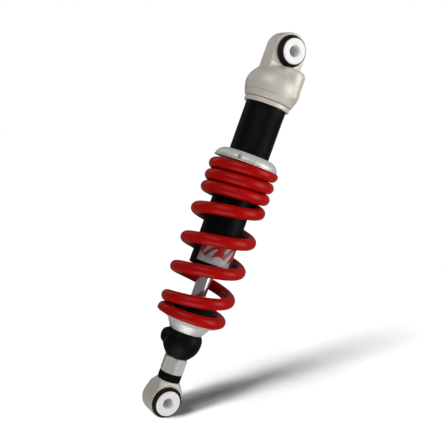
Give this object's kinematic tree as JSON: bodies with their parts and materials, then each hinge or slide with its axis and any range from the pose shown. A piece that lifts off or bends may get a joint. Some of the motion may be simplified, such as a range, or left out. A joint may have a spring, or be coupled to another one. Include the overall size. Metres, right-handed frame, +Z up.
{
  "type": "motorcycle rear shock absorber",
  "caption": "Coil-over rear shock absorber: a gas-charged damper inside a red progressive spring, with a rubber-bushed bolt eye at each end.",
  "frame": {"origin": "centre of the upper eye, on the bolt's axis", "axes": "+Z up along the damper's axis, +Y along both eyes' bolts, towards the back of the picture's view; the lower eye is at z = -0.401 m at full extension"},
  "size_m": [0.0811, 0.081, 0.4394],
  "materials": {
    "champagne_aluminium": "bead-blasted and clear-anodised, warm grey",
    "black_rubber": "matt black rubber",
    "bright_sleeve": "turned and bright zinc plated",
    "black_anodised": "satin black anodised",
    "turned_aluminium": "fine turned, clear anodised",
    "chrome_rod": "ground and polished hard chrome",
    "steel": "machined and zinc plated",
    "bronze": "sintered bronze",
    "red_powder_coat": "glossy red powder coat on spring steel"
  },
  "bodies": {
    "damper_body": {"head_cap": "champagne_aluminium", "gas_valve_plug": "steel", "head_lock_ring": "champagne_aluminium", "upper_eye_bush": "black_rubber", "damper_tube": "black_anodised", "tube_o_ring": "black_rubber", "circlip": "steel", "rod_guide": "turned_aluminium", "guide_o_ring": "black_rubber", "guide_bush": "bronze", "oil_seal": "black_rubber", "tube_end_cap": "turned_aluminium", "rod_wiper": "black_rubber", "main_spring": "red_powder_coat"},
    "upper_sleeve": {"upper_eye_sleeve": "bright_sleeve"},
    "gas_piston": {"floating_piston": "turned_aluminium", "floating_piston_o_ring": "black_rubber"},
    "spring_seat": {"upper_spring_seat": "turned_aluminium"},
    "preload_ring": {"preload_nut": "turned_aluminium"},
    "rod_assembly": {"piston_rod": "chrome_rod", "top_out_bumper": "black_rubber", "top_out_plate": "steel", "compression_shims": "steel", "piston": "turned_aluminium", "piston_band": "bronze", "rebound_shims": "steel", "backing_washer": "steel", "piston_nut": "steel", "bump_stop": "black_rubber", "lower_spring_seat": "turned_aluminium", "spring_perch": "black_anodised", "perch_grub_screw": "steel", "lock_nut": "steel", "lower_eye": "champagne_aluminium", "lower_eye_bush": "black_rubber"},
    "rebound_knob": {"rebound_ring": "black_anodised"},
    "rebound_rod": {"rebound_needle": "steel", "rebound_cross_pin": "steel"},
    "lower_sleeve": {"lower_eye_sleeve": "bright_sleeve"}
  },
  "joints": [
    {"name": "damper_stroke", "type": "slide", "parent": "damper_body", "child": "rod_assembly", "axis": [0, 0, 1], "range_m": [0, 0.046], "stiffness_N_per_m": 80000, "springref_m": -0.0015, "deforming": ["main_spring", "bump_stop"]},
    {"name": "gas_piston_travel", "type": "slide", "parent": "damper_body", "child": "gas_piston", "axis": [0, 0, 1], "range_m": [0, 0.0074]},
    {"name": "preload_travel", "type": "slide", "parent": "damper_body", "child": "spring_seat", "axis": [0, 0, -1], "range_m": [0, 0.009]},
    {"name": "preload_turn", "type": "hinge", "parent": "spring_seat", "child": "preload_ring", "pos_m": [0, 0, -0.124], "axis": [0, 0, -1], "range_deg": [0, 2160]},
    {"name": "upper_eye_twist", "type": "hinge", "parent": "damper_body", "child": "upper_sleeve", "pos_m": [0, 0, 0], "axis": [0, 1, 0], "range_deg": [-12, 12], "stiffness_Nm_per_rad": 40},
    {"name": "lower_eye_twist", "type": "hinge", "parent": "rod_assembly", "child": "lower_sleeve", "pos_m": [0, 0, -0.401], "axis": [0, 1, 0], "range_deg": [-12, 12], "stiffness_Nm_per_rad": 40},
    {"name": "rebound_turn", "type": "hinge", "parent": "rod_assembly", "child": "rebound_knob", "pos_m": [0, 0, -0.375], "axis": [0, 0, 1], "range_deg": [0, 540]},
    {"name": "rebound_needle_travel", "type": "slide", "parent": "rod_assembly", "child": "rebound_rod", "axis": [0, 0, 1], "range_m": [0, 0.0015]}
  ],
  "couplings": [
    {"joint": "gas_piston_travel", "follows": "damper_stroke", "ratio": 0.16},
    {"joint": "preload_turn", "follows": "preload_travel", "rad_per_m": 4188.8},
    {"joint": "rebound_turn", "follows": "rebound_needle_travel", "rad_per_m": 6283.2}
  ]
}
